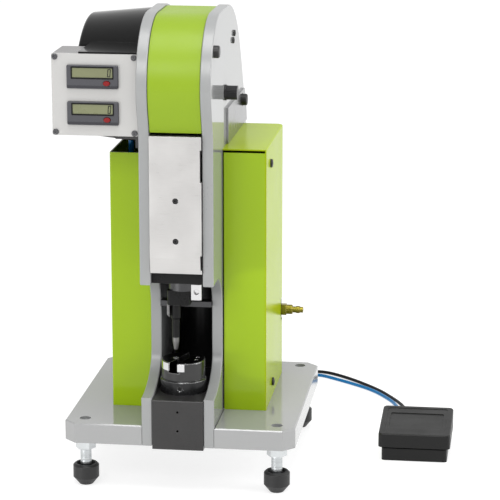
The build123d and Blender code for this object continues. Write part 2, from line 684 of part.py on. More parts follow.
with BuildPart() as right_box:
    with BuildSketch(level_plane(BASE_TOP)):
        with Locations((OUTER_X + RIGHT_W / 2, BOX_MID)):
            Rectangle(RIGHT_W, BOX_D)
        fillet(vertices().group_by(Axis.X)[-1].sort_by(Axis.Y)[-1], BOX_CORNER)
    extrude(amount=RIGHT_TOP - BASE_TOP)
    with BuildSketch(level_plane(BASE_TOP)):
        with Locations((OUTER_X + (RIGHT_W - SHEET) / 2, BOX_MID - SHEET)):
            Rectangle(RIGHT_W - SHEET, BOX_D)
        fillet(vertices().group_by(Axis.X)[-1].sort_by(Axis.Y)[-1], BOX_CORNER - SHEET)
    extrude(amount=RIGHT_TOP - SHEET - BASE_TOP, mode=Mode.SUBTRACT)
    fillet(edges().filter_by(Axis.Y).group_by(Axis.Z)[-1].sort_by(Axis.X)[-1], 1.2)
    with BuildSketch(side_plane(BOX_X)):
        with Locations(*BOX_SCREWS):
            Circle(BOX_SCREW_R)
    extrude(amount=-SHEET - 1, mode=Mode.SUBTRACT)
    with BuildSketch(side_plane(BOX_X)):
        with Locations((CUT_START + BOX_CORNER, NIPPLE_Z)):
            Rectangle(2 * BOX_CORNER, CUT_H)
    extrude(amount=-BOX_CORNER, mode=Mode.SUBTRACT)
save(right_box, "right_box")

PANEL_W = RIGHT_W - SHEET - PANEL_SIDE_GAP
PANEL_H = RIGHT_TOP - SHEET - PANEL_GAP - BASE_TOP

with BuildPart() as right_box_panel:
    with BuildSketch(front_plane(BOX_FRONT)):
        with Locations((BOX_X - SHEET - PANEL_W / 2, BASE_TOP + PANEL_H / 2)):
            Rectangle(PANEL_W, PANEL_H)
    extrude(amount=-SHEET)
save(right_box_panel, "right_box_panel")

HEAD_SCREWS = ((159, 470.2), (150, 463.6))
SIDE_SCREWS = ((OUTER_X, HEAD_SCREWS, 3.5, 2), (BOX_X, BOX_SCREWS, 4.6, 2.5))

with BuildPart() as side_screws:
    for face_x, places, radius, proud in SIDE_SCREWS:
        for place in places:
            with BuildSketch(side_plane(face_x)):
                with Locations(place):
                    Circle(radius)
            extrude(amount=proud)
            fillet(faces(Select.LAST).sort_by(Axis.X)[-1].edges(), proud / 2)
            with BuildSketch(side_plane(face_x + proud)):
                with Locations(place):
                    RegularPolygon(radius / 2, 6)
            extrude(amount=-proud / 2, mode=Mode.SUBTRACT)
save(side_screws, "side_screws")

NIPPLE_FLATS, NIPPLE_BORE_R = 12, 2.2

with BuildPart() as air_nipple:
    with BuildSketch(upright_plane(BOX_X, NIPPLE_Y, NIPPLE_Z)):
        with BuildLine():
            Polyline((-8, NIPPLE_BORE_R), (-8, NIPPLE_R), (6, NIPPLE_R), (6, 5.5), (12.5, 5.5),
                     (13, 5), (13, 3.6), (17, 3.6), (17, 4.2), (21, 4.2), (21.5, 3.4),
                     (25, 3.4), (25, NIPPLE_BORE_R), (-8, NIPPLE_BORE_R))
        make_face()
    revolve(axis=Axis(upright_plane(BOX_X, NIPPLE_Y, NIPPLE_Z).origin, (1, 0, 0)))
    with BuildSketch(side_plane(BOX_X)):
        with Locations((NIPPLE_Y, NIPPLE_Z)):
            RegularPolygon(NIPPLE_FLATS / 2, 6, major_radius=False)
            Circle(NIPPLE_R - 0.1, mode=Mode.SUBTRACT)
    extrude(amount=6)
save(air_nipple, "air_nipple")

VALVE_D, VALVE_H, VALVE_GAP = 36, 60, 8

with BuildPart() as control_valve:
    with BuildSketch(side_plane(OUTER_X)):
        with Locations((BOX_BACK - SHEET - 1 - VALVE_D / 2, NIPPLE_Z)):
            RectangleRounded(VALVE_D, VALVE_H, 3)
    extrude(amount=RIGHT_W - VALVE_GAP)
save(control_valve, "control_valve")

# ---- Counters ----

COUNT_MID_Z = (COUNT_BOTTOM + COUNT_TOP) / 2
COUNT_H = COUNT_TOP - COUNT_BOTTOM
COUNTERS = {"upper": 445, "lower": 407}
LID_SCREW_GRID = (83, 78.8, 2, 2)

with BuildPart() as counter_bracket:
    with BuildSketch(level_plane(COUNT_BOTTOM - 3)):
        with Locations((-OUTER_X - 12, COUNT_D / 2)):
            Rectangle(24, 50)
    extrude(amount=3)
    with BuildSketch(level_plane(COUNT_BOTTOM - 12)):
        with Locations((-OUTER_X - 1.5, COUNT_D / 2)):
            Rectangle(3, 50)
    extrude(amount=9)
save(counter_bracket, "counter_bracket")

with BuildPart() as counter_box:
    with BuildSketch(front_plane(LID_T)):
        with Locations((COUNT_X, COUNT_MID_Z)):
            Rectangle(COUNT_W, COUNT_H)
    extrude(amount=LID_T - COUNT_D)
    fillet(edges().filter_by(Axis.Y), 1.5)
    with BuildSketch(front_plane(LID_T)):
        with Locations((COUNT_X, COUNT_MID_Z)):
            Rectangle(COUNT_W - 2 * COUNT_WALL, COUNT_H - 2 * COUNT_WALL)
    extrude(amount=LID_T - COUNT_D + COUNT_WALL, mode=Mode.SUBTRACT)
save(counter_box, "counter_box")

with BuildPart() as counter_lid:
    with BuildSketch(front_plane(0)):
        with Locations((COUNT_X, COUNT_MID_Z)):
            RectangleRounded(COUNT_W, COUNT_H, 1.5)
        with Locations(*[(BEZEL_X, z) for z in COUNTERS.values()]):
            Rectangle(HOUSING_W, HOUSING_H, mode=Mode.SUBTRACT)
        with Locations((COUNT_X, COUNT_MID_Z)):
            with GridLocations(*LID_SCREW_GRID):
                Circle(1.7, mode=Mode.SUBTRACT)
    extrude(amount=-LID_T)
save(counter_lid, "counter_lid")

with BuildPart() as lid_screws:
    with BuildSketch(front_plane(0)):
        with Locations((COUNT_X, COUNT_MID_Z)):
            with GridLocations(*LID_SCREW_GRID):
                Circle(3.2)
    extrude(amount=1.6)
    fillet(faces().filter_by(Axis.Y).group_by(Axis.Y)[0].edges(), 0.9)
    with BuildSketch(front_plane(0)):
        with Locations((COUNT_X, COUNT_MID_Z)):
            with GridLocations(*LID_SCREW_GRID):
                Circle(1.65)
    extrude(amount=-LID_T)
    with BuildSketch(front_plane(-1.6)):
        with Locations((COUNT_X, COUNT_MID_Z)):
            with GridLocations(*LID_SCREW_GRID):
                Rectangle(3.4, 0.8)
                Rectangle(0.8, 3.4)
    extrude(amount=-1, mode=Mode.SUBTRACT)
save(lid_screws, "lid_screws")

for place, z in COUNTERS.items():
    with BuildPart() as counter:
        with BuildSketch(front_plane(0)):
            with Locations((BEZEL_X, z)):
                RectangleRounded(BEZEL_W, BEZEL_H, 1.5)
        extrude(amount=BEZEL_T)
        chamfer(faces().sort_by(Axis.Y)[0].outer_wire().edges(), 0.6)
        with BuildSketch(front_plane(0)):
            with Locations((BEZEL_X, z)):
                Rectangle(HOUSING_W, HOUSING_H)
        extrude(amount=-HOUSING_D)
        with BuildSketch(front_plane(-BEZEL_T)):
            with Locations((BEZEL_X, z + WINDOW_UP)):
                Rectangle(WINDOW_W, WINDOW_H)
        extrude(amount=-WINDOW_DEEP, mode=Mode.SUBTRACT)
        with BuildSketch(front_plane(-BEZEL_T)):
            with Locations((BEZEL_X + BUTTON_X, z - BUTTON_DOWN)):
                Ellipse(BUTTON_W / 2 + CLEAR, BUTTON_H / 2 + CLEAR)
        extrude(amount=-6, mode=Mode.SUBTRACT)
    save(counter, f"counter_{place}")

    with BuildPart() as button:
        with BuildSketch(front_plane(-BEZEL_T - 1.2)):
            with Locations((BEZEL_X + BUTTON_X, z - BUTTON_DOWN)):
                Ellipse(BUTTON_W / 2, BUTTON_H / 2)
        extrude(amount=-5)
    save(button, f"reset_button_{place}")

# ---- Hood on the left cheek ----


def hood_outline(inset):
    """The hood's side outline inside a BuildSketch: a disc cut off at the front and below."""
    with Locations((HOOD_Y, HOOD_Z)):
        Circle(HOOD_R - inset)
    with Locations((HOOD_FRONT + inset, HOOD_Z)):
        Rectangle(2 * HOOD_R, 4 * HOOD_R, align=(Align.MAX, Align.CENTER), mode=Mode.SUBTRACT)
    with Locations((HOOD_Y, HOOD_BOTTOM + inset)):
        Rectangle(4 * HOOD_R, 2 * HOOD_R, align=(Align.CENTER, Align.MAX), mode=Mode.SUBTRACT)


with BuildPart() as hopper_hood:
    for x, shrink in ((0, 0), (HOOD_W, HOOD_TAPER)):
        with BuildSketch(side_plane(-OUTER_X - x)):
            hood_outline(shrink)
            fillet(vertices(), 8)
    loft()
    fillet(faces().sort_by(Axis.X)[0].edges(), 4)
    for x, shrink in ((0, 0), (HOOD_W - HOOD_WALL, HOOD_TAPER)):
        with BuildSketch(side_plane(-OUTER_X - x)):
            hood_outline(HOOD_WALL + shrink)
            fillet(vertices(), 8)
    loft(mode=Mode.SUBTRACT)
    with BuildSketch(level_plane(COUNT_TOP)):
        with Locations((-OUTER_X, LEDGE_FRONT)):
            Rectangle(LEDGE_W, LEDGE_BACK - LEDGE_FRONT, align=(Align.MAX, Align.MIN))
    extrude(amount=LEDGE_T)
save(hopper_hood, "hopper_hood")

# ---- Knob on the right cheek ----

KNOB_R, KNOB_L, KNOB_RIBS, RIB_R = 7.5, 11.8, 24, 0.5
KNOB_START = OUTER_X + 0.3

with BuildPart() as adjust_knob:
    with BuildSketch(side_plane(INNER_X)):
        with Locations((KNOB_Y, KNOB_Z)):
            Circle(KNOB_STUB_R)
    extrude(amount=KNOB_START - INNER_X)
    with BuildSketch(side_plane(KNOB_START)):
        with Locations((KNOB_Y, KNOB_Z)):
            Circle(KNOB_R + 1)
    extrude(amount=1.5)
    with BuildSketch(side_plane(KNOB_START + 1.5)):
        with Locations((KNOB_Y, KNOB_Z)):
            Circle(KNOB_R)
            with PolarLocations(KNOB_R, KNOB_RIBS):
                Circle(RIB_R, mode=Mode.SUBTRACT)
    extrude(amount=KNOB_L)
save(adjust_knob, "adjust_knob")

# ---- Foot pedal ----

TREADLE_D = PEDAL_BACK - PEDAL_FRONT
TREADLE_MID = (PEDAL_BACK + PEDAL_FRONT) / 2
TREAD_MID = upright_plane(PEDAL_X, TREADLE_MID, (PEDAL_LOW + PEDAL_HIGH) / 2).origin
TREAD = Plane(origin=TREAD_MID, x_dir=(1, 0, 0), z_dir=(0, PEDAL_LOW - PEDAL_HIGH, TREADLE_D))
RIM_RECESS, TREAD_RECESS, TREAD_W, TREAD_D = 0.5, 0.8, 60, 46

with BuildPart() as treadle:
    with BuildSketch(level_plane(TREADLE_BOTTOM)):
        with Locations((PEDAL_X, TREADLE_MID)):
            RectangleRounded(PEDAL_W, TREADLE_D, 5)
    extrude(amount=PEDAL_HIGH - TREADLE_BOTTOM)
    with BuildSketch(side_plane(PEDAL_X - PEDAL_W / 2)):
        Polygon((PEDAL_FRONT, PEDAL_LOW), (PEDAL_BACK, PEDAL_HIGH), (PEDAL_FRONT, PEDAL_HIGH), align=None)
    extrude(amount=PEDAL_W, mode=Mode.SUBTRACT)
    fillet(faces().sort_by(Axis.Z)[-1].edges(), 2)
    with BuildSketch(side_plane(PEDAL_X - PEDAL_W / 2 + TREADLE_WALL)):
        Polygon((PEDAL_FRONT + TREADLE_WALL, TREADLE_BOTTOM), (PEDAL_BACK - TREADLE_WALL, TREADLE_BOTTOM),
                (PEDAL_BACK - TREADLE_WALL, PEDAL_HIGH - TREADLE_ROOF),
                (PEDAL_FRONT + TREADLE_WALL, PEDAL_LOW - TREADLE_ROOF), align=None)
    extrude(amount=PEDAL_W - 2 * TREADLE_WALL, mode=Mode.SUBTRACT)
    with BuildSketch(TREAD):
        RectangleRounded(PEDAL_W - 12, TREADLE_D - 14, 4)
    extrude(amount=-RIM_RECESS, mode=Mode.SUBTRACT)
    with BuildSketch(TREAD.offset(-RIM_RECESS)):
        RectangleRounded(TREAD_W, TREAD_D, 3)
    extrude(amount=-TREAD_RECESS, mode=Mode.SUBTRACT)
    with BuildSketch(side_plane(PEDAL_X - PEDAL_W / 2)):
        with Locations((TREADLE_PIN_Y, TREADLE_PIN_Z)):
            Circle(TREADLE_PIN_R + RUNNING)
    extrude(amount=PEDAL_W, mode=Mode.SUBTRACT)
save(treadle, "treadle")

LUG_X, LUG_W, LUG_D = 28, 8, 12
PEDAL_BASE_TOP = TABLE_Z + PEDAL_BASE_H
PEDAL_BASE_MID = (PEDAL_BASE_FRONT + PEDAL_BASE_BACK) / 2
PEDAL_BASE_D = PEDAL_BASE_BACK - PEDAL_BASE_FRONT

with BuildPart() as pedal_base:
    with BuildSketch(level_plane(TABLE_Z)):
        with Locations((PEDAL_X, PEDAL_BASE_MID)):
            RectangleRounded(PEDAL_BASE_W, PEDAL_BASE_D, 4)
    extrude(amount=PEDAL_BASE_H)
    with BuildSketch(level_plane(PEDAL_FLOOR)):
        with Locations((PEDAL_X, PEDAL_BASE_MID + 9)):
            Rectangle(PEDAL_BASE_W - 6, PEDAL_BASE_D - 24)
    extrude(amount=PEDAL_BASE_H, mode=Mode.SUBTRACT)
    with BuildSketch(level_plane(PEDAL_BASE_TOP - 1)):
        for x in (-LUG_X, LUG_X):
            with Locations((PEDAL_X + x, TREADLE_PIN_Y)):
                Rectangle(LUG_W, LUG_D)
    extrude(amount=TREADLE_PIN_Z + 5 - PEDAL_BASE_TOP)
    with BuildSketch(side_plane(PEDAL_X - PEDAL_W / 2)):
        with Locations((TREADLE_PIN_Y, TREADLE_PIN_Z)):
            Circle(TREADLE_PIN_R)
    extrude(amount=PEDAL_W, mode=Mode.SUBTRACT)
save(pedal_base, "pedal_base")

with BuildPart() as treadle_pin:
    with BuildSketch(side_plane(PEDAL_X - PEDAL_W / 2 + 0.5)):
        with Locations((TREADLE_PIN_Y, TREADLE_PIN_Z)):
            Circle(TREADLE_PIN_R)
    extrude(amount=PEDAL_W - 1)
save(treadle_pin, "treadle_pin")

FOOT_VALVE_Y, FOOT_VALVE_H, STEM_R, STEM_TOP = 196, 8, 4, 24

with BuildPart() as foot_valve:
    with BuildSketch(level_plane(PEDAL_FLOOR)):
        with Locations((PEDAL_X, FOOT_VALVE_Y)):
            Rectangle(28, 24)
    extrude(amount=FOOT_VALVE_H)
    with BuildSketch(level_plane(PEDAL_FLOOR + FOOT_VALVE_H)):
        with Locations((PEDAL_X, FOOT_VALVE_Y)):
            Circle(STEM_R)
    extrude(amount=STEM_TOP - PEDAL_FLOOR - FOOT_VALVE_H)
save(foot_valve, "foot_valve")

SPRING_Y, SPRING_R, WIRE_R, SPRING_TURNS = 170, 5, 0.7, 5
SPRING_START = PEDAL_FLOOR + WIRE_R + 0.1
SPRING_REACH = SPRING_Y - SPRING_R - PEDAL_FRONT
SPRING_CEILING = PEDAL_LOW - TREADLE_ROOF + SPRING_REACH * (PEDAL_HIGH - PEDAL_LOW) / TREADLE_D
SPRING_H = SPRING_CEILING - WIRE_R - 0.4 - SPRING_START

with BuildPart() as treadle_spring:
    with BuildLine():
        coil = Helix(SPRING_H / SPRING_TURNS, SPRING_H, SPRING_R,
                     center=level_plane(SPRING_START).from_local_coords((PEDAL_X, SPRING_Y, 0)))
    with BuildSketch(Plane(coil @ 0, z_dir=coil % 0)):
        Circle(WIRE_R)
    sweep(path=coil, is_frenet=True)
save(treadle_spring, "treadle_spring")

# ---- Hoses with their fittings ----

FITTING_FLATS, FITTING_R = 10, 4.5
GLAND_X = (BLACK_ROUTE[-1][0] + BLUE_ROUTE[-1][0]) / 2
HOSES = {"black": BLACK_ROUTE, "blue": BLUE_ROUTE}

hose(INNER_ROUTE, "inner_hose", INNER_R)

for colour, route in HOSES.items():
    hose(route, f"hose_{colour}")
    x, _, z = route[0]
    with BuildPart() as fitting:
        with BuildSketch(front_plane(BOX_BACK)):
            with Locations((x, z)):
                RegularPolygon(FITTING_FLATS / 2, 6, major_radius=False)
        extrude(amount=-6)
        with BuildSketch(front_plane(BOX_BACK + 6)):
            with Locations((x, z)):
                Circle(FITTING_R)
        extrude(amount=BOX_BACK + 6 - HOSE_EXIT_Y)
        chamfer(faces().sort_by(Axis.Y)[-1].edges(), 1)
    save(fitting, f"hose_fitting_{colour}")

with BuildPart() as pedal_gland:
    with BuildSketch(front_plane(PEDAL_BASE_BACK)):
        with Locations((GLAND_X, HOSE_END_Z)):
            RectangleRounded(22, 9, 2)
    extrude(amount=-6)
    with BuildSketch(front_plane(PEDAL_BASE_BACK + 6)):
        for route in HOSES.values():
            with Locations((route[-1][0], HOSE_END_Z)):
                Circle(3.6)
    extrude(amount=PEDAL_BASE_BACK + 6 - HOSE_END_Y)
save(pedal_gland, "pedal_gland")
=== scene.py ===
"""Looks of a bench-top rivet punch tool: cords, materials, detail pieces, floor, light and camera.

Everything is in metres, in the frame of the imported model.
"""

import math

import bmesh
import bpy
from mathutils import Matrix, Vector


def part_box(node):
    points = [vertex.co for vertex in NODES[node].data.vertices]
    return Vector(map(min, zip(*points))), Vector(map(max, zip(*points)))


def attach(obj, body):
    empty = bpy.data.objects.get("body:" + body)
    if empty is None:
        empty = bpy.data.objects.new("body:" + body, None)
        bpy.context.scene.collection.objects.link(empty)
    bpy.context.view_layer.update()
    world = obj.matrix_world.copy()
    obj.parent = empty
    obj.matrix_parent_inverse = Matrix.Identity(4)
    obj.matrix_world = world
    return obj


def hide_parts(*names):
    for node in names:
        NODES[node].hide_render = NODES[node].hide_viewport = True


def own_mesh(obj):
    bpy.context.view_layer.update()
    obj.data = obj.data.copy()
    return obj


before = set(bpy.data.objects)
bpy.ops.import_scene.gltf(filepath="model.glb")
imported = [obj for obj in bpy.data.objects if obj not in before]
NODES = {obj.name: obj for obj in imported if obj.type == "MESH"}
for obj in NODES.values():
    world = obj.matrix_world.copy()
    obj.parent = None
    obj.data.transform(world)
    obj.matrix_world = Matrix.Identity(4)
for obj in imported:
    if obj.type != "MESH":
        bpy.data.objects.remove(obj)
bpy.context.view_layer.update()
MM = 0.001

# ---- Camera ----

camera_data = bpy.data.cameras.new("camera")
camera_data.sensor_width = 36
camera_data.lens = 165.2
camera = bpy.data.objects.new("camera", camera_data)
camera.location = (0.298, -2.426, 0.8265)
camera.rotation_euler = (math.radians(76.51), 0, math.radians(7.39))
bpy.context.scene.collection.objects.link(camera)
bpy.context.scene.camera = camera

# ---- Procedural materials ----

VECTOR_MATH = "ShaderNodeVectorMath"
NOISE_DETAIL = 3
NOISE_MIDDLE = (0.3, 0.7)
SUM_MIDDLE = (0.7, 1.3)
FLANK_FACING = (0.9, 0.99)
BEVEL_SAMPLES = 4
LEAST_EDGE_WEAR_AND_HIGHLIGHT = 0.35


def wire(tree, value, entry):
    """Joins a node's input to a socket, or sets it to a constant."""
    if isinstance(value, bpy.types.NodeSocket):
        tree.links.new(value, entry)
    else:
        entry.default_value = value


def maths(tree, operation, first, second=None, kind="ShaderNodeMath"):
    """The outputs of a new maths node, whose inputs are sockets or constants."""
    node = tree.nodes.new(kind)
    node.operation = operation
    wire(tree, first, node.inputs[0])
    if second is not None:
        wire(tree, second, node.inputs[1])
    return node.outputs


def noise(tree, place, scale):
    """Plain noise, with the scale in repeats per unit of place."""
    node = tree.nodes.new("ShaderNodeTexNoise")
    node.inputs["Scale"].default_value = scale
    node.inputs["Detail"].default_value = NOISE_DETAIL
    wire(tree, place, node.inputs["Vector"])
    return node.outputs["Fac"]


def ranged(tree, value, low, high, span=NOISE_MIDDLE):
    """The value, moved from the span to the range from low to high."""
    node = tree.nodes.new("ShaderNodeMapRange")
    for name, limit in (("From Min", span[0]), ("From Max", span[1]), ("To Min", low), ("To Max", high)):
        node.inputs[name].default_value = limit
    wire(tree, value, node.inputs["Value"])
    return node.outputs["Result"]


def blended(tree, factor, low, high):
    """A mix of two colours, each a socket or three numbers."""
    node = tree.nodes.new("ShaderNodeMix")
    node.data_type = "RGBA"
    wire(tree, factor, node.inputs["Factor"])
    for entry, value in zip([s for s in node.inputs if s.type == "RGBA"], (low, high)):
        wire(tree, value if isinstance(value, bpy.types.NodeSocket) else (*value, 1), entry)
    return [s for s in node.outputs if s.type == "RGBA"][0]


def parted(tree, vector):
    node = tree.nodes.new("ShaderNodeSeparateXYZ")
    wire(tree, vector, node.inputs[0])
    return node.outputs


def combined(tree, **parts):
    node = tree.nodes.new("ShaderNodeCombineXYZ")
    for name, part in parts.items():
        wire(tree, part, node.inputs[name])
    return node.outputs[0]


def about_axis(tree, place, axis):
    """Coordinates that change with the distance from an upright axis and with the height only."""
    parts = parted(tree, maths(tree, "SUBTRACT", place, (*axis, 0), VECTOR_MATH)[0])
    level = combined(tree, X=parts["X"], Y=parts["Y"])
    reach = maths(tree, "LENGTH", level, kind=VECTOR_MATH)["Value"]
    return combined(tree, X=reach, Z=parts["Z"])


def finish(name, color, roughness, metallic=0.0, grain=(900, 900, 900), depth=0.01, tint=0.03,
           patch=0.05, patch_scale=14, spread=0.2, edge=None, edge_width=0.5, edge_start=0.06,
           axis=None, flank=None, **sockets):
    """A surface with grain, soft patches, uneven gloss, rounded edges and lighter edges: edge wear on most
    finishes, painted highlights on the turned steel.

    grain holds the grain's repeats per metre along X, Y and Z, depth and edge_width are in
    millimetres, axis is the upright line that turned grain runs round, and flank is the
    roughness of the faces that look along X.
    """
    material = bpy.data.materials.new(name)
    material.use_nodes = True
    tree = material.node_tree
    surface = tree.nodes["Principled BSDF"]
    surface.inputs["Metallic"].default_value = metallic
    for socket, value in sockets.items():
        surface.inputs[socket.replace("_", " ")].default_value = value

    place = tree.nodes.new("ShaderNodeTexCoord").outputs["Object"]
    laid = place if axis is None else about_axis(tree, place, axis)
    fine = noise(tree, maths(tree, "MULTIPLY", laid, grain, VECTOR_MATH)[0], 1)
    cloud = noise(tree, place, patch_scale)

    def shade(amount):
        return [min(1, c * (1 + amount)) for c in color]

    patches = blended(tree, ranged(tree, cloud, 0, 1), shade(-patch), shade(patch))
    grains = blended(tree, ranged(tree, fine, 0, 1), shade(-tint), shade(tint))
    base = blended(tree, 0.5, patches, grains)
    gloss = ranged(tree, maths(tree, "ADD", fine, cloud)[0], roughness * (1 - spread),
                   roughness * (1 + spread), SUM_MIDDLE)
    straight = tree.nodes.new("ShaderNodeNewGeometry").outputs["True Normal"]
    if flank is not None:
        sideways = maths(tree, "ABSOLUTE", parted(tree, straight)["X"])[0]
        gloss = maths(tree, "MULTIPLY", gloss, ranged(tree, sideways, 1, flank / roughness, FLANK_FACING))[0]

    bevel = tree.nodes.new("ShaderNodeBevel")
    bevel.samples = BEVEL_SAMPLES
    bevel.inputs["Radius"].default_value = edge_width * MM
    rounded = bevel.outputs[0]
    # Edges take the edge colour: edge wear on most finishes, painted highlights along the rims of the turned
    # steel.
    if edge is not None:
        match = maths(tree, "DOT_PRODUCT", rounded, straight, VECTOR_MATH)["Value"]
        wear_and_highlight_edge = ranged(tree, match, 1, 0, (1 - 4 * edge_start, 1 - edge_start))
        wear_and_highlight = maths(tree, "MULTIPLY", wear_and_highlight_edge, ranged(tree, cloud, LEAST_EDGE_WEAR_AND_HIGHLIGHT, 1))[0]
        base = blended(tree, wear_and_highlight, base, edge)
    wire(tree, base, surface.inputs["Base Color"])
    wire(tree, gloss, surface.inputs["Roughness"])

    bump = tree.nodes.new("ShaderNodeBump")
    bump.inputs["Strength"].default_value = 1
    bump.inputs["Distance"].default_value = depth * MM
    wire(tree, fine, bump.inputs["Height"])
    wire(tree, rounded, bump.inputs["Normal"])
    wire(tree, bump.outputs[0], surface.inputs["Normal"])
    return material


TURNTABLE_AXIS = (-0.078, -0.083)
TURNED = (9000, 1, 9000)

GREY = finish("grey_paint", (0.28, 0.282, 0.282), 0.10, depth=0.006, grain=(420, 420, 420), tint=0.01,
              patch=0.015, edge=(0.30, 0.30, 0.30), IOR=1.9, edge_width=0.2)
# The cheeks' grey is a slightly darker copy of the base plate's grey paint: painted shade for their darker
# front edges. Its gloss differs too.
SHADED_CHEEK_GREY = finish("grey_paint_shaded_cheek_copy", (0.265, 0.27, 0.27), 0.34, depth=0.006, grain=(420, 420, 420), tint=0.01,
               patch=0.015, edge=(0.38, 0.38, 0.38), flank=0.08, IOR=1.7)
BOX_DARK = finish("counter_box_paint", (0.15, 0.145, 0.145), 0.3, depth=0.02, grain=(1500, 1500, 1500),
                  tint=0.05, patch=0.05, edge=(0.3, 0.3, 0.3))
BOX_GREY = finish("box_grey_paint", (0.455, 0.45, 0.44), 0.36, depth=0.02, grain=(1500, 1500, 1500),
                  tint=0.02, patch=0.015, Specular_IOR_Level=0.2)
GREEN = finish("green_paint", (0.28, 0.425, 0.004), 0.14, depth=0.006, grain=(500, 500, 500), tint=0.01,
               patch=0.02, edge=(0.40, 0.56, 0.04), Specular_IOR_Level=0.3)
# The right box's green is a yellower copy of the green paint: painted light for its side that faces the right
# lamp.
GREEN_LIT_SIDE_COPY = finish("green_paint_lit_side_copy", (0.315, 0.415, 0.004), 0.22, depth=0.006, grain=(500, 500, 500),
                    tint=0.01, patch=0.02, edge=(0.40, 0.52, 0.04), IOR=1.14)
COVER = finish("green_cover_paint", (0.225, 0.345, 0.002), 0.42, depth=0.006, grain=(500, 500, 500),
               tint=0.01, patch=0.02, Specular_IOR_Level=0.4)
PLATE = finish("brushed_plate", (0.54, 0.53, 0.52), 0.38, 1.0, grain=(60, 1500, 4000), depth=0.01, tint=0.08,
               patch=0.12, patch_scale=22, spread=0.3, edge=(0.80, 0.80, 0.79))
MIRROR = finish("bearing_steel", (0.28, 0.28, 0.285), 0.24, 1.0, grain=(4000, 600, 40), depth=0.012,
                tint=0.3, patch=0.2, patch_scale=30, edge=(0.6, 0.6, 0.6))
BLACK_STEEL = finish("black_steel", (0.030, 0.029, 0.029), 0.36, 0.3, grain=(300, 900, 2500), depth=0.006,
                     tint=0.2, patch=0.2, patch_scale=30, edge=(0.10, 0.10, 0.10))
TOOL_BLACK = finish("tool_black", (0.008, 0.008, 0.008), 0.3, depth=0.006, tint=0.3, patch=0.3,
                    patch_scale=60, edge=(0.10, 0.10, 0.10), Specular_IOR_Level=0.15)
BLACK_SCREW = finish("black_screw", (0.018, 0.018, 0.018), 0.38, 0.3, depth=0.01, tint=0.2,
                     edge=(0.08, 0.08, 0.08))
GREY_SCREW = finish("grey_screw", (0.10, 0.10, 0.105), 0.30, 0.8, depth=0.008, tint=0.15, patch=0.1,
                    edge=(0.30, 0.30, 0.30))
GROUND = finish("ground_steel", (0.36, 0.36, 0.37), 0.28, 1.0, grain=(900, 900, 5000), depth=0.006, tint=0.12,
                patch=0.1, patch_scale=40, edge=(0.6, 0.6, 0.6))
RAM = finish("ram_steel", (0.07, 0.07, 0.072), 0.32, 0.9, grain=(900, 900, 5000), depth=0.006, tint=0.2,
             patch=0.2, patch_scale=40, edge=(0.2, 0.2, 0.2))
PIN = finish("pin_steel", (0.17, 0.168, 0.165), 0.34, 1.0, grain=(900, 900, 5000), depth=0.004, tint=0.06,
             patch=0.05, patch_scale=90, edge=(0.6, 0.6, 0.6))
# The near-white edge colour of the turned steel and the die ring is a painted highlight along their rims and
# the slot's edges.
TABLE = finish("turned_steel", (0.06, 0.06, 0.06), 0.24, 1.0, grain=TURNED, depth=0.004, tint=0.2,
               patch=0.15, patch_scale=40, edge=(0.95, 0.95, 0.95), edge_start=0.03, edge_width=0.9,
               axis=TURNTABLE_AXIS)
RING = finish("turned_black_steel", (0.030, 0.030, 0.031), 0.22, 0.8, grain=TURNED, depth=0.004, tint=0.2,
              patch=0.15, patch_scale=40, edge=(0.85, 0.85, 0.85), edge_start=0.03, edge_width=0.9,
              axis=TURNTABLE_AXIS)
CHROME = finish("chrome", (0.62, 0.62, 0.62), 0.10, 1.0, depth=0.003, tint=0.04, patch=0.05,
                edge=(0.85, 0.85, 0.85))
ANODISED = finish("black_anodised", (0.014, 0.014, 0.015), 0.32, 0.4, grain=(900, 900, 3000), depth=0.006,
                  tint=0.2, patch=0.15, edge=(0.07, 0.07, 0.07))
HOOD = finish("black_gloss", (0.006, 0.006, 0.006), 0.06, depth=0.004, grain=(300, 300, 300), tint=0.15,
              patch=0.15, edge=(0.03, 0.03, 0.03), Specular_IOR_Level=0.15)
BEZEL = finish("bezel_grey", (0.048, 0.048, 0.056), 0.38, depth=0.02, grain=(2600, 2600, 2600), tint=0.1,
               patch=0.06, edge=(0.12, 0.12, 0.13))
BEZEL_DARK = finish("bezel_dark", (0.018, 0.018, 0.024), 0.35, depth=0.02, grain=(2600, 2600, 2600),
                    tint=0.08)
LCD_BLACK = finish("lcd_black", (0.004, 0.004, 0.004), 0.35, depth=0.01, tint=0.1, Specular_IOR_Level=0.2)
LCD = finish("lcd_olive", (0.165, 0.175, 0.085), 0.28, depth=0.0, grain=(30, 1, 12), tint=0.06, patch=0.06,
             patch_scale=60, Coat_Weight=0.4, Coat_Roughness=0.08)
BUTTON = finish("button_red", (0.2, 0.005, 0.006), 0.3, depth=0.01, tint=0.04, Specular_IOR_Level=0.3)
BRASS = finish("brass", (0.25, 0.21, 0.035), 0.22, 1.0, grain=(7000, 500, 500), depth=0.006, tint=0.15,
               patch=0.2, patch_scale=90, edge=(0.55, 0.47, 0.20))
NICKEL = finish("nickel", (0.60, 0.59, 0.56), 0.18, 1.0, depth=0.004, tint=0.05, edge=(0.80, 0.79, 0.77))
ZINC = finish("zinc", (0.60, 0.62, 0.63), 0.32, 1.0, grain=(700, 700, 2500), depth=0.02, tint=0.1,
              patch=0.15, patch_scale=80, edge=(0.85, 0.85, 0.85))
THREAD = finish("threaded_zinc", (0.50, 0.52, 0.53), 0.30, 1.0, grain=(3, 3, 620), depth=0.35, tint=0.3,
                patch=0.1, patch_scale=80)
RUBBER = finish("pad_rubber", (0.008, 0.008, 0.0083), 0.50, depth=0.03, grain=(1800, 1800, 1800), tint=0.12,
                patch=0.1, edge=(0.035, 0.035, 0.035))
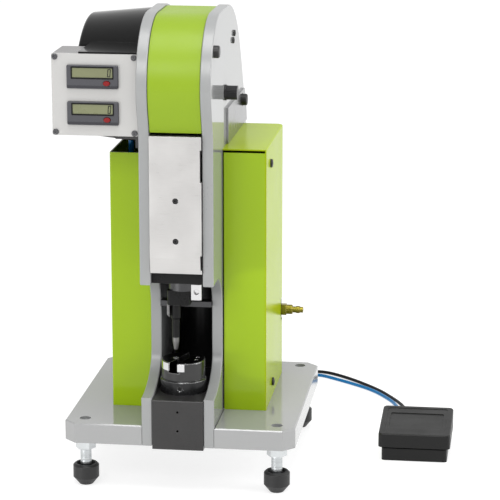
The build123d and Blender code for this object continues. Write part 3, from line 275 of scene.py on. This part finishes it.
PEDAL = finish("pedal_plastic", (0.008, 0.008, 0.008), 0.42, depth=0.04, grain=(1600, 1600, 1600), tint=0.1,
               patch=0.06, patch_scale=30, edge=(0.022, 0.022, 0.022), Specular_IOR_Level=0.25)
HOSE_BLACK = finish("hose_black", (0.003, 0.003, 0.0035), 0.34, depth=0.01, grain=(600, 600, 600), tint=0.1,
                    Specular_IOR_Level=0.2)
HOSE_BLUE = finish("hose_blue", (0.0, 0.125, 0.32), 0.25, depth=0.01, grain=(600, 600, 600), tint=0.08,
                   patch=0.08, Specular_IOR_Level=0.25)

# ---- Hoses ----

HOSE_DIAMETER = 0.004
BLACK_ROUTE = [
    (-0.0300, 0.1160, 0.1015),
    (-0.0300, 0.1400, 0.1010),
    (-0.0295, 0.1690, 0.0935),
    (-0.0285, 0.1960, 0.0695),
    (-0.0270, 0.2210, 0.0385),
    (-0.0240, 0.2520, 0.0125),
    (-0.0190, 0.2870, 0.0028),
    (-0.0040, 0.3230, 0.0022),
    (0.0260, 0.3470, 0.0022),
    (0.0650, 0.3200, 0.0022),
    (0.1060, 0.2740, 0.0022),
    (0.1230, 0.2465, 0.0022),
    (0.1410, 0.2130, 0.0022),
    (0.1500, 0.1750, 0.0022),
    (0.1520, 0.1370, 0.0030),
    (0.1510, 0.1040, 0.0070),
]
BLUE_ROUTE = [
    (-0.0160, 0.1160, 0.1015),
    (-0.0160, 0.1390, 0.1010),
    (-0.0155, 0.1670, 0.0935),
    (-0.0145, 0.1920, 0.0695),
    (-0.0130, 0.2160, 0.0385),
    (-0.0100, 0.2450, 0.0125),
    (-0.0060, 0.2770, 0.0028),
    (0.0000, 0.3050, 0.0022),
    (0.0120, 0.3240, 0.0022),
    (0.0300, 0.3270, 0.0022),
    (0.0500, 0.3125, 0.0022),
    (0.0760, 0.2920, 0.0022),
    (0.0980, 0.2720, 0.0022),
    (0.1155, 0.2475, 0.0022),
    (0.1320, 0.2170, 0.0022),
    (0.1410, 0.1770, 0.0022),
    (0.1435, 0.1390, 0.0030),
    (0.1430, 0.1040, 0.0070),
]


def hose(name, points, material):
    """A smooth tube whose spline has the route's points as its control points."""
    data = bpy.data.curves.new(name, "CURVE")
    data.dimensions = "3D"
    line = data.splines.new("NURBS")
    line.points.add(len(points) - 1)
    for point, place in zip(line.points, points):
        point.co = (*place, 1)
    line.order_u = 3
    line.use_endpoint_u = True
    data.resolution_u = 14
    data.bevel_depth = HOSE_DIAMETER / 2
    data.bevel_resolution = 6
    data.use_fill_caps = True
    data.materials.append(material)
    tube = bpy.data.objects.new(name, data)
    bpy.context.scene.collection.objects.link(tube)
    return tube


for colour, route, length, material in (
    ("black", BLACK_ROUTE, 0.566, HOSE_BLACK),
    ("blue", BLUE_ROUTE, 0.530, HOSE_BLUE),
):
    tube = hose(f"tube_{colour}", route, material)
    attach(tube, "frame")
    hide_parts(f"hose_{colour}")

# ---- Materials of the CAD nodes ----

FEET = ["front_left", "front_right", "back_left", "back_right"]
LOOKS = [
    (GREY, ["base_plate"]),
    (SHADED_CHEEK_GREY, ["left_cheek", "right_cheek"]),
    (BOX_GREY, ["counter_lid"]),
    (BOX_DARK, ["counter_box"]),
    (GREEN, ["rear_panel", "left_box", "right_box_panel"]),
    # The right box takes the copy of the green paint with painted light for its lit side.
    (GREEN_LIT_SIDE_COPY, ["right_box"]),
    (COVER, ["head_cover"]),
    (PLATE, ["front_plate"]),
    (MIRROR, ["bearing_plate"]),
    (BLACK_STEEL, ["die_block", "counter_bracket", "control_valve"]),
    (TOOL_BLACK, ["ram_guide", "punch_holder", "punch"]),
    (BLACK_SCREW, ["tie_rod_front", "tie_rod_rear", "side_screws", "front_plate_screws", "ball_plunger"]),
    (GREY_SCREW, ["lid_screws"]),
    (GROUND, ["pivot_shaft", "lever", "piston_rod", "piston", "treadle_pin", "treadle_spring",
              "die_insert"]),
    (RAM, ["ram", "guide_bar"]),
    (PIN, ["punch_pin"]),
    (TABLE, ["turntable"]),
    (RING, ["die_ring"]),
    (CHROME, ["tool_clamp"]),
    (ANODISED, ["cylinder", "adjust_knob"]),
    (HOOD, ["hopper_hood"]),
    (BEZEL, ["counter_upper", "counter_lower"]),
    (BUTTON, ["reset_button_upper", "reset_button_lower"]),
    (BRASS, ["air_nipple"]),
    (NICKEL, ["hose_fitting_black", "hose_fitting_blue"]),
    (ZINC, ["foot_nuts"]),
    (THREAD, ["foot_studs"]),
    (RUBBER, [f"foot_pad_{place}" for place in FEET]),
    (PEDAL, ["treadle", "pedal_base", "pedal_gland", "foot_valve"]),
    (HOSE_BLUE, ["inner_hose"]),
]
for material, names in LOOKS:
    for name in names:
        for material_slot in NODES[name].material_slots:
            material_slot.material = material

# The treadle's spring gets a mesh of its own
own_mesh(NODES["treadle_spring"])

# ---- Detail pieces ----


def shown(name, mesh, material, body):
    """Makes an object of a new mesh and lets it ride on a body."""
    data = bpy.data.meshes.new(name)
    mesh.to_mesh(data)
    mesh.free()
    data.materials.append(material)
    piece = bpy.data.objects.new(name, data)
    bpy.context.scene.collection.objects.link(piece)
    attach(piece, body)
    return piece


def prism(name, outline, front, back, material, body, edge=0.0):
    """An upright outline of (x, z) points, run from y = front to y = back, with its front rim rounded."""
    mesh = bmesh.new()
    near = [mesh.verts.new((x, front, z)) for x, z in outline]
    far = [mesh.verts.new((x, back, z)) for x, z in outline]
    mesh.faces.new(near)
    mesh.faces.new(far[::-1])
    count = len(outline)
    for i in range(count):
        mesh.faces.new((near[i], far[i], far[(i + 1) % count], near[(i + 1) % count]))
    bmesh.ops.recalc_face_normals(mesh, faces=mesh.faces)
    if edge:
        rim = [e for e in mesh.edges if all(v in near for v in e.verts)]
        bmesh.ops.bevel(mesh, geom=rim, offset=edge, segments=2, affect="EDGES")
    return shown(name, mesh, material, body)


def rectangle(x, z, width, height, corner=0.0, steps=5):
    """The points of a rectangle with round corners, anticlockwise from its lower right."""
    if not corner:
        return [(x + sx * width / 2, z + sz * height / 2) for sx, sz in ((1, -1), (1, 1), (-1, 1), (-1, -1))]
    points = []
    for turn, (sx, sz) in enumerate(((1, -1), (1, 1), (-1, 1), (-1, -1))):
        cx, cz = x + sx * (width / 2 - corner), z + sz * (height / 2 - corner)
        for step in range(steps + 1):
            angle = math.radians(-90 + 90 * turn + 90 * step / steps)
            points.append((cx + corner * math.cos(angle), cz + corner * math.sin(angle)))
    return points


def surround(name, outer, inner, front, back, material, body):
    """A flat frame between two outlines of as many points each."""
    mesh = bmesh.new()
    rings = [[mesh.verts.new((x, y, z)) for x, z in outline]
             for outline, y in ((outer, back), (outer, front), (inner, front), (inner, back))]
    count = len(outer)
    for a, b in zip(rings, rings[1:] + rings[:1]):
        for i in range(count):
            mesh.faces.new((a[i], a[(i + 1) % count], b[(i + 1) % count], b[i]))
    bmesh.ops.recalc_face_normals(mesh, faces=mesh.faces)
    return shown(name, mesh, material, body)


def band(name, axis, radius, thickness, start, end, low, high, material, body, steps=12):
    """A curved plate that follows an upright cylinder's wall between two angles."""
    mesh = bmesh.new()
    rows = []
    for step in range(steps + 1):
        angle = math.radians(start + (end - start) * step / steps)
        rows.append([
            mesh.verts.new((axis[0] + r * math.cos(angle), axis[1] + r * math.sin(angle), z))
            for r, z in ((radius, low), (radius + thickness, low), (radius + thickness, high), (radius, high))
        ])
    for a, b in zip(rows, rows[1:]):
        for i in range(4):
            mesh.faces.new((a[i], a[(i + 1) % 4], b[(i + 1) % 4], b[i]))
    mesh.faces.new(rows[0])
    mesh.faces.new(rows[-1][::-1])
    bmesh.ops.recalc_face_normals(mesh, faces=mesh.faces)
    return shown(name, mesh, material, body)


WINDOW_UP = 4.4 * MM
FRAME_OUTSIDE, FRAME_INSIDE = (44.8 * MM, 13.0 * MM, 0.6 * MM), (42.2 * MM, 10.0 * MM, 0.3 * MM)
FRAME_OUT, FRAME_IN = 0.3 * MM, 0.9 * MM
GLASS_SIZE, GLASS_FRONT, GLASS_BACK, GLASS_EDGE = (42.6 * MM, 10.3 * MM), 0.3 * MM, 0.95 * MM, 0.1 * MM
STRIP_DOWN, STRIP_SIZE = 10.4 * MM, (53 * MM, 3.0 * MM, 0.5 * MM)
STRIP_OUT, STRIP_IN = 0.12 * MM, 0.3 * MM
DIGIT_X, DIGIT_W, DIGIT_H, DIGIT_DEEP = 17.6 * MM, 3.4 * MM, 8.4 * MM, 0.26 * MM
STROKE, GAP, SLANT = 0.9 * MM, 0.12 * MM, 0.09


def zero_bars():
    """The six bars of a seven-bar zero, as lists of (x, z) points about the digit's middle."""
    half_w, half_h = DIGIT_W / 2, DIGIT_H / 2
    bars = [
        [(-half_w + GAP, half_h), (half_w - GAP, half_h),
         (half_w - STROKE, half_h - STROKE), (-half_w + STROKE, half_h - STROKE)],
        [(-half_w + GAP, -half_h), (-half_w + STROKE, -half_h + STROKE),
         (half_w - STROKE, -half_h + STROKE), (half_w - GAP, -half_h)],
    ]
    for side in (-1, 1):
        for end in (-1, 1):
            bars.append([
                (side * half_w, end * (half_h - GAP)), (side * (half_w - STROKE), end * (half_h - STROKE)),
                (side * (half_w - STROKE), end * GAP), (side * half_w, end * GAP),
            ])
    return bars


for place in ("upper", "lower"):
    low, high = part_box(f"counter_{place}")
    x, z, face = (low.x + high.x) / 2, (low.z + high.z) / 2, low.y
    up = z + WINDOW_UP
    surround(f"lcd_frame_{place}", rectangle(x, up, *FRAME_OUTSIDE), rectangle(x, up, *FRAME_INSIDE),
             face - FRAME_OUT, face + FRAME_IN, LCD_BLACK, "frame")
    prism(f"lcd_{place}", rectangle(x, up, *GLASS_SIZE), face + GLASS_FRONT, face + GLASS_BACK, LCD,
          "frame", edge=GLASS_EDGE)
    prism(f"bezel_band_{place}", rectangle(x, z - STRIP_DOWN, *STRIP_SIZE), face - STRIP_OUT,
          face + STRIP_IN, BEZEL_DARK, "frame")
    mesh = bmesh.new()
    for bar in zero_bars():
        mesh.faces.new([mesh.verts.new((x + DIGIT_X + bx + SLANT * bz, face + DIGIT_DEEP, up + bz))
                        for bx, bz in bar])
    shown(f"lcd_digit_{place}", mesh, LCD_BLACK, "frame")

# Ground lands beside the mouth of the turntable's slot, between two angles in degrees
LAND_ANGLES = {"left": (-172, -124), "right": (-97.5, -79)}
LAND_INSET, LAND_T, LAND_DOWN, LAND_EDGE = 0.3 * MM, 0.45 * MM, 9 * MM, 0.8 * MM
table_low, table_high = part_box("turntable")
TABLE_R = (table_high.x - table_low.x) / 2
for place, (start, end) in LAND_ANGLES.items():
    band(f"slot_land_{place}", TURNTABLE_AXIS, TABLE_R - LAND_INSET, LAND_T, start, end,
         table_high.z - LAND_DOWN, table_high.z - LAND_EDGE, CHROME, "turntable_body")

# A bright stripper blade beside the punch, with its foot cut at a slant
holder_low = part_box("punch_holder")[0]
BLADE_X, BLADE_HALF, BLADE_H, BLADE_SLANT = -0.0930, 1.2 * MM, 14 * MM, 2.5 * MM
BLADE_FRONT, BLADE_BACK, BLADE_EDGE = 4 * MM, 13 * MM, 0.3 * MM
foot = holder_low.z - BLADE_H
prism("stripper_blade", [(BLADE_X + BLADE_HALF, foot), (BLADE_X + BLADE_HALF, holder_low.z),
                         (BLADE_X - BLADE_HALF, holder_low.z), (BLADE_X - BLADE_HALF, foot + BLADE_SLANT)],
      holder_low.y + BLADE_FRONT, holder_low.y + BLADE_BACK, PIN, "ram_slide_body",
      edge=BLADE_EDGE)

# ---- Floor, light and surroundings ----

FLOOR_HALF = 12
floor_mesh = bmesh.new()
bmesh.ops.create_grid(floor_mesh, x_segments=4, y_segments=4, size=FLOOR_HALF)
floor_data = bpy.data.meshes.new("floor")
floor_mesh.to_mesh(floor_data)
floor_mesh.free()
floor_data.materials.append(
    finish("floor_paper", (0.36, 0.36, 0.36), 0.8, depth=0.02, tint=0.005, patch=0.005,
           Emission_Color=(1, 1, 1, 1), Emission_Strength=0.74, Specular_IOR_Level=0.1)
)
floor = bpy.data.objects.new("floor", floor_data)
bpy.context.scene.collection.objects.link(floor)

world = bpy.data.worlds.new("studio")
world.use_nodes = True
bpy.context.scene.world = world
# The surroundings are brighter towards the right, the back and the top
BRIGHTER_TOWARDS, WORLD_LEVEL = (0.12, 0.25, 0.05), 0.72
sky = world.node_tree
direction = sky.nodes.new("ShaderNodeTexCoord").outputs["Generated"]
lean = maths(sky, "DOT_PRODUCT", direction, BRIGHTER_TOWARDS, VECTOR_MATH)["Value"]
background = sky.nodes["Background"]
wire(sky, maths(sky, "ADD", lean, WORLD_LEVEL)[0], background.inputs["Strength"])
background.inputs["Color"].default_value = (1, 1, 1, 1)
bpy.context.scene.view_settings.view_transform = "Standard"


def softbox(name, place, target, size, power):
    """A rectangular lamp that looks at the target."""
    data = bpy.data.lights.new(name, "AREA")
    data.shape = "RECTANGLE"
    data.size, data.size_y = size
    data.energy = power
    light = bpy.data.objects.new(name, data)
    light.location = place
    direction = Vector(target) - Vector(place)
    light.rotation_euler = direction.to_track_quat("-Z", "Y").to_euler()
    bpy.context.scene.collection.objects.link(light)


MIDDLE = (-0.05, -0.05, 0.25)
softbox("right", (2.2, -0.2, 1.1), MIDDLE, (1.6, 1.6), 25)
softbox("front", (-0.35, -2.1, 1.60), MIDDLE, (0.9, 0.7), 15)
softbox("low", (-1.3, -1.5, 0.12), (-0.12, 0, 0.12), (0.8, 0.2), 9)
softbox("top", (0.0, -0.5, 2.2), MIDDLE, (1.2, 1.2), 22)
